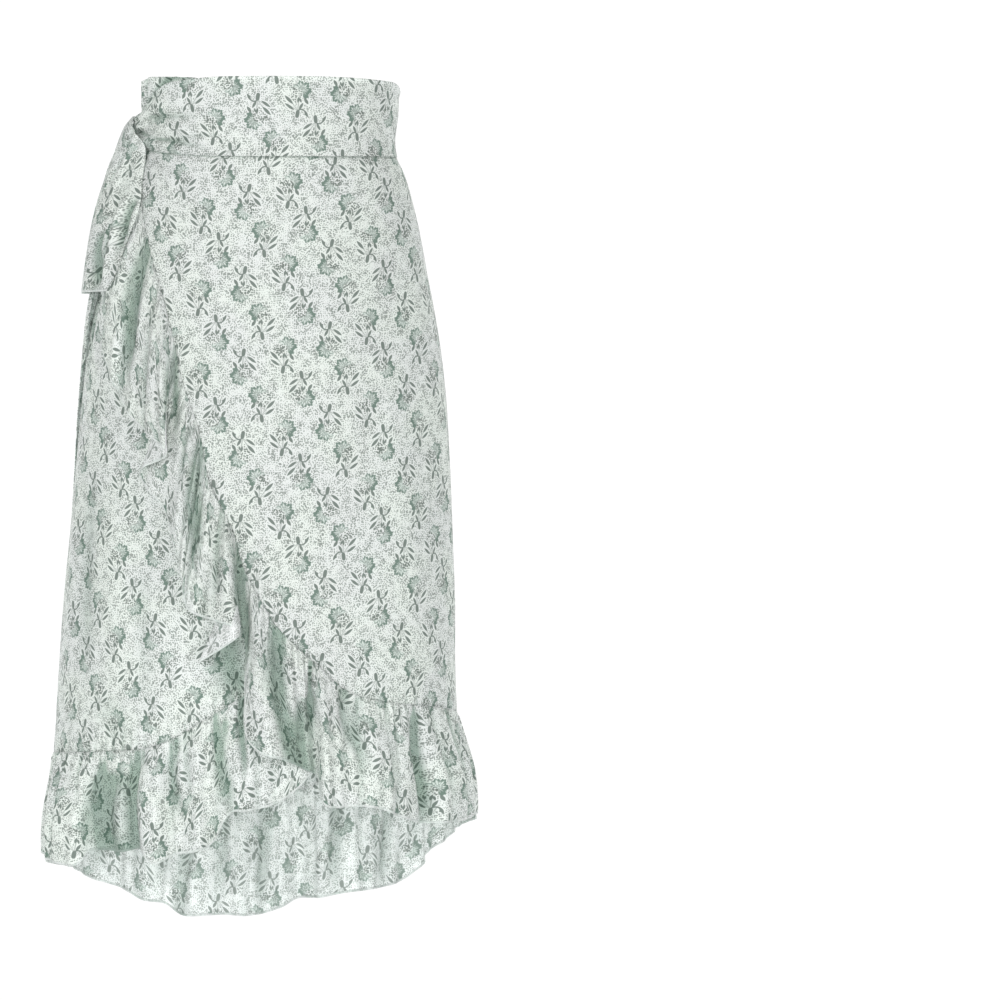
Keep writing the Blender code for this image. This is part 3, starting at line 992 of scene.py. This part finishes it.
# Surfaces. Each function gives a grid's points, their flat places, and how deep in a fold they lie,
# which sets how much painted shade the cloth's colour gets.

PANEL_ROWS = 1.15  # power that brings a panel's rows closer together by the waist
PUCKER_DEPTH, PUCKER_REACH = 0.45, 0.5  # shares of its ruffle's gathers
TUCK_WIDTH = 0.0025  # how near a seam a panel curves in to it
TUCK_IN = (0.0005, 0.0008)  # and how far, at the ruffle and at the waist
WAIST_SHADE, WAIST_WIDTH = 0.55, 0.0018  # how dark the painted shade along the waist seam's groove is, and how wide

BELLY = 0.62  # part of a half turn that a ruffle fold's profile takes
UNEVEN = ((0.35, 0.021, 0.0), (0.25, 0.0083, 1.0))  # gathers' depth: share, run and start of waves
UNEVEN_MEAN = 0.75  # and its mean share
GATHER_START, FOLD_START = 0.005, 0.05  # run over which gathers and small folds open
FOLD_PITCH = 2.9  # gathers to one small fold
FOLD_SHIFT = 0.04  # run by which the two are out of step
COVERED = 14.0  # angle over which a covered ruffle comes to lie flat
ROUNDING = 0.0016  # how softly a ruffle keeps off its base
SEAM_IN = 0.0006  # how far in it is sewn
GATHER_SHADE, CREASE_SHADE = 1.6, 1.2  # how much more than folds their painted shade darkens

BAND_CREASES = 2  # waves down a band
BAND_FINE = (0.18, 5.3, 0.06)  # share, turns down it and radians a degree of its fine waves
BAND_LIP = 0.004  # width of the lips along its edges
LOWER_LIP = -0.8  # share of the upper lip; it turns in
BAND_SHADE = 0.4  # share of FULL_FOLD at which the painted shade in its troughs is darkest
BAND_MIDDLE = 0.03  # height at which the way round it is measured

TAIL_FOLDS = 2.5  # lengthwise folds in a free end
TAIL_OPEN = 0.06  # distance below the knot over which they open
TAIL_SHUT = 0.8  # share of their depth that they lose in the knot
TAIL_FINE = (0.22, 6.1, 9.0)  # share, turns across and radians a metre of its fine waves
TAIL_SHADE = 0.7  # as BAND_SHADE, for the painted shade in a free end's troughs


def panel_surface(angle, top, bottom, base, creases, grain, rows=96):
    """A panel's grid: columns straight down from the waist seam to the lower edge, puckered just
    above the ruffle's seam, with its soft creases; and its flat places, whose x is the way round
    the form from the grain line."""
    cloth = bpy.context.scene.wrap_skirt_cloth
    down = np.linspace(0, 1, rows + 1)[None, :] ** PANEL_ROWS
    top = np.reshape(top - SEAM, (-1, 1))
    height = top + down * (bottom[:, None] - top)
    above, below = height - bottom[:, None], height - top
    angles = angle[:, None] + 0 * height
    seam_run = run_of(on_form(angle, bottom, 0.0), 0)[:, None]
    pucker = PUCKER_DEPTH * cloth.gather_depth * gather_wave(seam_run, cloth.gather_spacing)
    pucker = pucker * np.exp(-above / (PUCKER_REACH * cloth.gather_reach))
    relief = soft_creases(creases, angles, height) + pucker
    out = np.reshape(base, (-1, 1)) + relief
    for distance, tuck in zip((above, below), TUCK_IN):
        out = out - tuck * bell(distance, TUCK_WIDTH)
    points = on_form(angles, height, out)
    uv = stacked(round_form(grain, angles, height), -run_of(points, 1))
    # painted shade: a dark line along the groove of the waist seam
    seam = WAIST_SHADE * bell(below, WAIST_WIDTH)
    # painted shade: darker in troughs, and more so in the puckers
    return points, uv, seam - (relief + 2 * pucker) / FULL_FOLD


def ruffle_surface(strip, base, creases, covered, rows=40):
    """A gathered strip's grid: lines from seam to hem, whose folds open as a sine of the way down,
    with gathers that fade out below the seam and small folds that grow towards the hem. It never
    goes behind its base, and lies flat where covered (an angle) goes from 0 to COVERED."""
    cloth = bpy.context.scene.wrap_skirt_cloth
    down = np.linspace(0, 1, rows + 1)[None, :]
    edge = on_form(strip["seam_angle"], strip["seam_height"], 0.0)
    angle, height = (
        strip[f"seam_{measure}"][:, None] * (1 - down) + strip[f"hem_{measure}"][:, None] * down
        for measure in ("angle", "height")
    )
    opening = np.sin(np.pi * BELLY * down)
    base = np.reshape(base, (-1, 1))
    free = opening * strip["hem_out"][:, None]
    below = run_of(on_form(angle, height, base + free), 1)
    seam_run = run_of(edge, 0)[:, None]
    waves = (share * np.sin(seam_run / run + start) for share, run, start in UNEVEN)
    uneven = sum(waves, UNEVEN_MEAN)
    gathers = cloth.gather_depth * uneven * gather_wave(seam_run, cloth.gather_spacing)
    gathers = gathers * np.exp(-below / cloth.gather_reach) * ease(0.0, GATHER_START, below)
    folds = gather_wave(seam_run + FOLD_SHIFT, FOLD_PITCH * cloth.gather_spacing)
    folds = cloth.fold_depth * folds * ease(0.0, FOLD_START, below)
    loose = 1 - ease(0.0, COVERED, np.reshape(covered, (-1, 1)))
    pressed = soft_creases(creases, angle, height, start=0.06, shoulder=0.9)
    free = free + loose * (gathers + folds + pressed)
    out = base + 0.5 * (free + np.hypot(free, ROUNDING * loose)) - SEAM_IN * loose
    points = on_form(angle, height, out)
    # painted shade: darker in gathers, small folds and pressed troughs
    fold = -loose * (GATHER_SHADE * gathers + folds + CREASE_SHADE * pressed) / FULL_FOLD
    evened = 0.5 * (run_of(points[:, -1], 0) + run_of(edge, 0))
    return points, stacked(evened[:, None], -run_of(points, 1)), fold


def band_surface(shape, creases, lip, columns=260, rows=56):
    """A band's grid round the waist: waves down it that deepen towards the knot, creases, and a
    soft lip along both edges."""
    angle = np.linspace(shape["angle"][0], shape["angle"][-1], columns + 1)
    bottom, top, out, crease = (
        smooth(angle, shape["angle"], shape[column])[:, None]
        for column in ("bottom", "top", "out", "crease")
    )
    down = np.linspace(0, 1, rows + 1)[None, :]
    height = top + down * (bottom - top)
    angles = angle[:, None] + 0 * height
    wave = 0.5 - 0.5 * np.cos(tau * BAND_CREASES * down)
    share, turns, slant = BAND_FINE
    fine = share * np.sin(tau * turns * down + slant * angle[:, None]) * np.sin(np.pi * down)
    edge = bell(top - height, BAND_LIP) + LOWER_LIP * bell(height - bottom, BAND_LIP)
    relief = crease * (wave + fine) + soft_creases(creases, angle[:, None], height, start=0.12)
    points = on_form(angles, height, out + relief + lip * edge)
    uv = stacked(round_form(angle.mean(), angles, BAND_MIDDLE + 0 * height), height)
    # painted shade: darker where the band's waves and creases go in
    return points, uv, (BAND_SHADE * crease - relief) / (BAND_SHADE * FULL_FOLD)


def tail_surface(shape, fold_depth, creases, columns, rows):
    """A tie's free end: at each height a parabola through the front edge, the middle and the back
    edge, with lengthwise folds that open below the knot, and its creases."""
    height = np.linspace(shape["height"][-1], shape["height"][0], rows + 1)[None, :]
    across = np.linspace(0, 1, columns + 1)[:, None]
    shares = (
        ("front", (1 - across) * (1 - 2 * across)),
        ("middle", 4 * across * (1 - across)),
        ("back", across * (2 * across - 1)),
    )
    angle, out = (
        sum(share * smooth(height, shape["height"], shape[f"{place}_{measure}"])
            for place, share in shares)
        for measure in ("angle", "out")
    )
    wave = -np.sin(tau * TAIL_FOLDS * across) * np.sin(np.pi * across)
    share, turns, slant = TAIL_FINE
    wave = wave + share * np.sin(tau * turns * across + slant * height) * np.sin(np.pi * across)
    relief = fold_depth * (1 - TAIL_SHUT * ease(-TAIL_OPEN, 0.0, height)) * wave
    relief = relief + soft_creases(creases, angle, height, start=0.15, shoulder=0.6)
    points = on_form(angle, height + 0 * angle, out + relief)[::-1]
    widest = run_of(points, 0)[:, -1]
    # painted shade: darker in the free end's troughs
    fold = -relief[::-1] / (TAIL_SHADE * FULL_FOLD)
    return points, stacked(widest[:, None], -run_of(points, 1)), fold


def knot_surface(columns=96, rows=64):
    """The knot's grid round its X axis: a ball whose coordinates are taken to the power of
    KNOT_SQUARE and times its half sizes, pressed in along slanting grooves and wrinkled, both less
    towards its ends, with its top drawn in."""
    turn = np.linspace(0, tau, columns + 1)[:, None]
    tilt = np.linspace(KNOT_END, np.pi - KNOT_END, rows + 1)[None, :]
    ring = np.sin(tilt)
    ball = stacked(-np.cos(tilt), ring * np.cos(turn), ring * np.sin(turn))
    reach = np.hypot(ball[..., 1], ball[..., 2])
    around = np.arctan2(ball[..., 2], ball[..., 1])
    groove = 0.5 - 0.5 * np.cos(KNOT_WRAPS * around + KNOT_SLANT * ball[..., 0])
    depth, count, slant = KNOT_WRINKLES
    wrinkle = depth * np.sin(count * around + slant * ball[..., 0])
    full = np.sign(ball) * np.abs(ball) ** KNOT_SQUARE
    full = full * (1 - KNOT_GROOVE * reach * groove**2 + wrinkle * reach)[..., None]
    points = np.array(KNOT_CENTRE) + np.array(KNOT_HALF) * full
    points = points + ease(*KNOT_TOP, full[..., 2])[..., None] * np.array(KNOT_LEAN)
    # painted shade: the last value darkens the knot's grooves
    return points, stacked(turn * KNOT_FLAT[0], tilt * KNOT_FLAT[1]), reach * groove**2


# Operators.

PANEL_STEPS = 10  # columns of a panel from one row of its folds to the next,
OVERLAP_STEPS, RUFFLE_STEPS = 20, 24  # and of a ruffle


class WRAPSKIRT_OT_panels(bpy.types.Operator):
    """Add the overlap, the underlap and the back"""

    bl_idname = "wrap_skirt.panels"
    bl_label = "Panels"

    def execute(self, context):
        overlap = rows_of(OVERLAP_FOLDS, PANEL_STEPS)
        edge = {
            name: np.concatenate([UNDERLAP_FOLDS[name], UNDERLAP_EDGE[name]])
            for name in ("seam_angle", "seam_height")
        }
        underlap, back = rows_of(edge, PANEL_STEPS), rows_of(BACK_FOLDS, PANEL_STEPS)
        lying = overlap_out(overlap["seam_angle"])
        waist = front_waist(overlap["seam_angle"])
        panels = (
            ("overlap", overlap, waist, lying, OVERLAP_CREASES, 0.0, "underlap"),
            ("underlap", underlap, 0.0, 0.0, UNDERLAP_CREASES, 0.0, "waistband"),
            ("back", back, 0.0, 0.0, BACK_CREASES, 180.0, "waistband"),
        )
        for name, folds, top, base, creases, grain, under in panels:
            angle, bottom = folds["seam_angle"], folds["seam_height"]
            surface = panel_surface(angle, top, bottom, base, creases, grain)
            add_cloth(name, *surface, f"{name}_panel", "hung", under)
        return {"FINISHED"}


class WRAPSKIRT_OT_ruffles(bpy.types.Operator):
    """Add the three gathered strips with their rolled hems"""

    bl_idname = "wrap_skirt.ruffles"
    bl_label = "Ruffles"

    def execute(self, context):
        overlap = rows_of(OVERLAP_FOLDS, OVERLAP_STEPS)
        underlap = rows_of(UNDERLAP_FOLDS, RUFFLE_STEPS)
        back = rows_of(dict(BACK_FOLDS, hem_angle=BACK_FOLDS["seam_angle"]), RUFFLE_STEPS)
        lying = overlap_out(overlap["seam_angle"])
        strips = (
            ("overlap", overlap, lying, OVERLAP_FRILL_CREASES, 0.0),
            ("underlap", underlap, 0.0, UNDERLAP_FRILL_CREASES, underlap["seam_angle"]),
            ("back", back, 0.0, BACK_FRILL_CREASES, 0.0),
        )
        for name, strip, base, creases, covered in strips:
            surface = ruffle_surface(strip, base, creases, covered)
            add_cloth(f"{name}_frill", *surface, f"{name}_ruffle", "gathered", name, True)
        return {"FINISHED"}


class WRAPSKIRT_OT_waistbands(bpy.types.Operator):
    """Add the front band, the inner band and the tie that goes round the back"""

    bl_idname = "wrap_skirt.waistbands"
    bl_label = "Waistbands"

    def execute(self, context):
        bands = (
            ("front_band", FRONT_BAND, FRONT_BAND_CREASES, 0.0012, "waistband_front", "waistband"),
            ("back_tie", TIE_WRAP, TIE_CREASES, 0.0008, "tie_wrap", "waistband"),
            ("waistband", INNER_BAND, INNER_BAND_CREASES, 0.0, "waistband_inner", "underlap"),
        )
        for name, shape, creases, lip, node, under in bands:
            add_cloth(name, *band_surface(shape, creases, lip), node, "stretched", under)
        return {"FINISHED"}


class WRAPSKIRT_OT_tie(bpy.types.Operator):
    """Add the knot and the two free ends"""

    bl_idname = "wrap_skirt.tie"
    bl_label = "Tie"

    def execute(self, context):
        add_piece("tie_knot", grid_mesh("tie_knot", *knot_surface()), ["knot"], chiffon()[:1])
        ends = (
            ("short_end", SHORT_TAIL, 0.0022, SHORT_TAIL_CREASES, "tail_short", 90, 110),
            ("long_end", LONG_TAIL, 0.001, LONG_TAIL_CREASES, "tail_long", 60, 180),
        )
        for name, shape, depth, creases, node, columns, rows in ends:
            surface = tail_surface(shape, depth, creases, columns, rows)
            add_cloth(name, *surface, node, "hung", "tie_knot", True)
        return {"FINISHED"}


FLOOR_RADIUS = 3.2
FLOOR_COLOUR = (0.93, 0.93, 0.93, 1.0)
WORLD_LIGHT, WORLD_SEEN = 0.51, 0.54  # the white all round, and what the camera sees more
LIGHT_AIM = (0.0, 0.0, -0.4)
CAMERA_ACROSS, CAMERA_HEIGHT = 0.2432, -0.3671
SENSOR_WIDTH = 36.0  # millimetres

# Name, place, width and height, and power in watts.
SOFTBOXES = (
    ("front_softbox", (0.0, -8.6, -0.5), (2.0, 1.2), 305.0),
    ("front_left_softbox", (-3.6, -4.6, 0.4), (3.0, 3.0), 140.0),
    ("front_right_softbox", (3.6, -4.6, 0.1), (3.0, 3.0), 112.0),
    ("back_left_softbox", (-3.6, 4.6, 0.3), (3.0, 3.0), 205.0),
    ("back_right_softbox", (3.6, 4.6, 0.3), (3.0, 3.0), 228.0),
)


class WRAPSKIRT_OT_studio(bpy.types.Operator):
    """Add the floor, the lights and the camera"""

    bl_idname = "wrap_skirt.studio"
    bl_label = "Studio"

    def execute(self, context):
        studio = context.scene.wrap_skirt_studio
        turn = np.linspace(0, tau, 97)[:-1]
        floor_height = CAD_BOX[0][2] - studio.floor_drop
        rim = stacked(FLOOR_RADIUS * np.cos(turn), FLOOR_RADIUS * np.sin(turn), floor_height)
        mesh = bpy.data.meshes.new("floor")
        mesh.from_pydata(rim.tolist(), [], [list(range(len(rim)))])
        floor = linked("floor", mesh)
        material = bpy.data.materials.new("floor")
        material.use_nodes = True
        shader = material.node_tree.nodes["Principled BSDF"]
        shader.inputs["Base Color"].default_value = FLOOR_COLOUR
        shader.inputs["Roughness"].default_value = 0.9
        mesh.materials.append(material)

        world = bpy.data.worlds.new("studio")
        context.scene.world = world
        t = cleared(world)
        seen = t.node("LightPath").outputs["Is Camera Ray"]
        strength = t.line(seen, WORLD_SEEN, WORLD_LIGHT)
        inputs = {"Color": (1.0, 1.0, 1.0, 1.0), "Strength": strength}
        background = t.node("Background", inputs).outputs[0]
        t.node("OutputWorld", {"Surface": background})

        for name, place, size, power in SOFTBOXES:
            light = bpy.data.lights.new(name, "AREA")
            light.shape = "RECTANGLE"
            light.size, light.size_y = size
            light.energy = power
            lamp = linked(name, light)
            lamp.location = place
            aim = Vector(np.subtract(LIGHT_AIM, place))
            lamp.rotation_euler = aim.to_track_quat("-Z", "Y").to_euler()

        camera = linked("camera", bpy.data.cameras.new("camera"))
        camera.data.sensor_width = SENSOR_WIDTH
        camera.data.lens = SENSOR_WIDTH * studio.distance / studio.picture_width
        camera.data.clip_end = 200.0
        camera.location = (CAMERA_ACROSS, -studio.distance, CAMERA_HEIGHT)
        camera.rotation_euler = (radians(90), 0.0, 0.0)
        context.scene.camera = camera
        context.scene.view_settings.view_transform = "Standard"
        return {"FINISHED"}


class WRAPSKIRT_PT_sidebar(bpy.types.Panel):
    """The skirt's settings and its pieces, in the order they are made"""

    bl_label = "Wrap skirt"
    bl_space_type = "VIEW_3D"
    bl_region_type = "UI"
    bl_category = "Wrap skirt"

    def draw(self, context):
        for group_name, cls in GROUPS.items():
            box = self.layout.box()
            for name in cls.__annotations__:
                box.prop(getattr(context.scene, group_name), name)
        for operator in OPERATORS:
            self.layout.operator(operator.bl_idname)


OPERATORS = (
    WRAPSKIRT_OT_studio,
    WRAPSKIRT_OT_waistbands,
    WRAPSKIRT_OT_panels,
    WRAPSKIRT_OT_ruffles,
    WRAPSKIRT_OT_tie,
)
GROUPS = {
    "wrap_skirt_cloth": WrapSkirtCloth,
    "wrap_skirt_print": WrapSkirtPrint,
    "wrap_skirt_studio": WrapSkirtStudio,
}


def register():
    """Register the classes, and give each scene its settings."""
    for cls in (*GROUPS.values(), *OPERATORS, WRAPSKIRT_PT_sidebar):
        bpy.utils.register_class(cls)
    for name, cls in GROUPS.items():
        setattr(bpy.types.Scene, name, bpy.props.PointerProperty(type=cls))


def unregister():
    """Undo register, the last first."""
    for name in GROUPS:
        delattr(bpy.types.Scene, name)
    for cls in (WRAPSKIRT_PT_sidebar, *OPERATORS[::-1], *list(GROUPS.values())[::-1]):
        bpy.utils.unregister_class(cls)


def main():
    """Make the studio and the skirt."""
    register()
    bpy.ops.wrap_skirt.studio()
    bpy.ops.wrap_skirt.waistbands()
    bpy.ops.wrap_skirt.panels()
    bpy.ops.wrap_skirt.ruffles()
    bpy.ops.wrap_skirt.tie()


if __name__ == "__main__":
    main()
